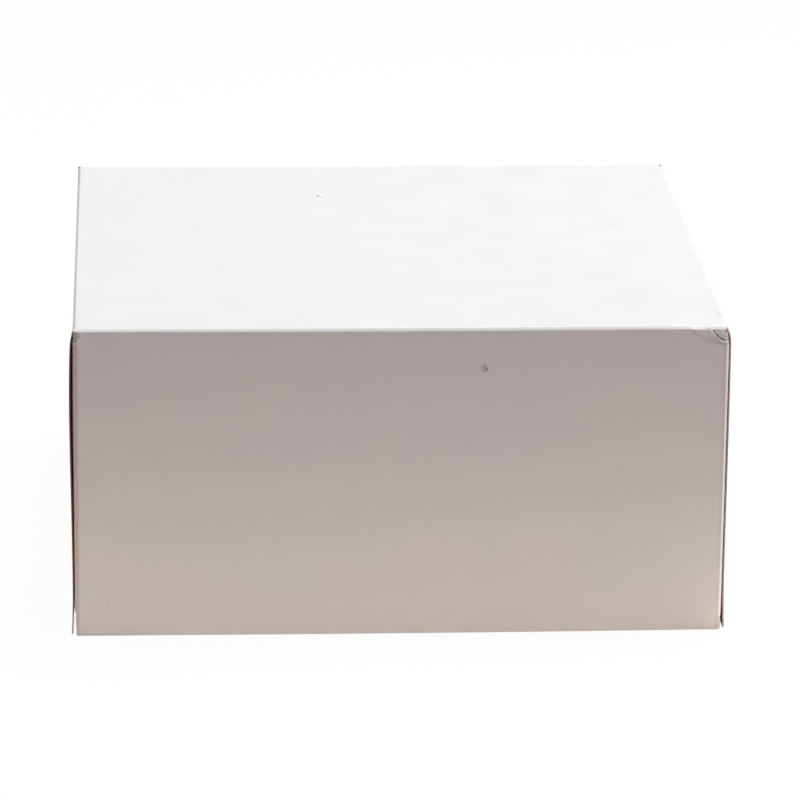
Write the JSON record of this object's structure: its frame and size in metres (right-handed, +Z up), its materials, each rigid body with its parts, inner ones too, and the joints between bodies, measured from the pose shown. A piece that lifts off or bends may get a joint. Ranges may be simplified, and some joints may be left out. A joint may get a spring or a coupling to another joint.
{
  "type": "cake box",
  "caption": "Low square two-piece cake box of white-lined board: a full-depth cover that lifts straight off a shallow tray.",
  "frame": {"origin": "on the table under the middle of the closed box", "axes": "+Z up out of the top panel, -Y out of the pictured front panel, +X to the right of that panel"},
  "size_m": [0.2264, 0.225, 0.11],
  "materials": {
    "cover_board": "smooth white-lined face, brown back, tan cut edges",
    "tray_board": "smooth white-lined face, brown back, tan cut edges"
  },
  "bodies": {
    "tray": {"tray": "tray_board"},
    "cover": {"cover": "cover_board"}
  },
  "joints": [
    {"name": "cover_lift", "type": "slide", "parent": "tray", "child": "cover", "axis": [0, 0, 1], "range_m": [0, 0.12]}
  ]
}
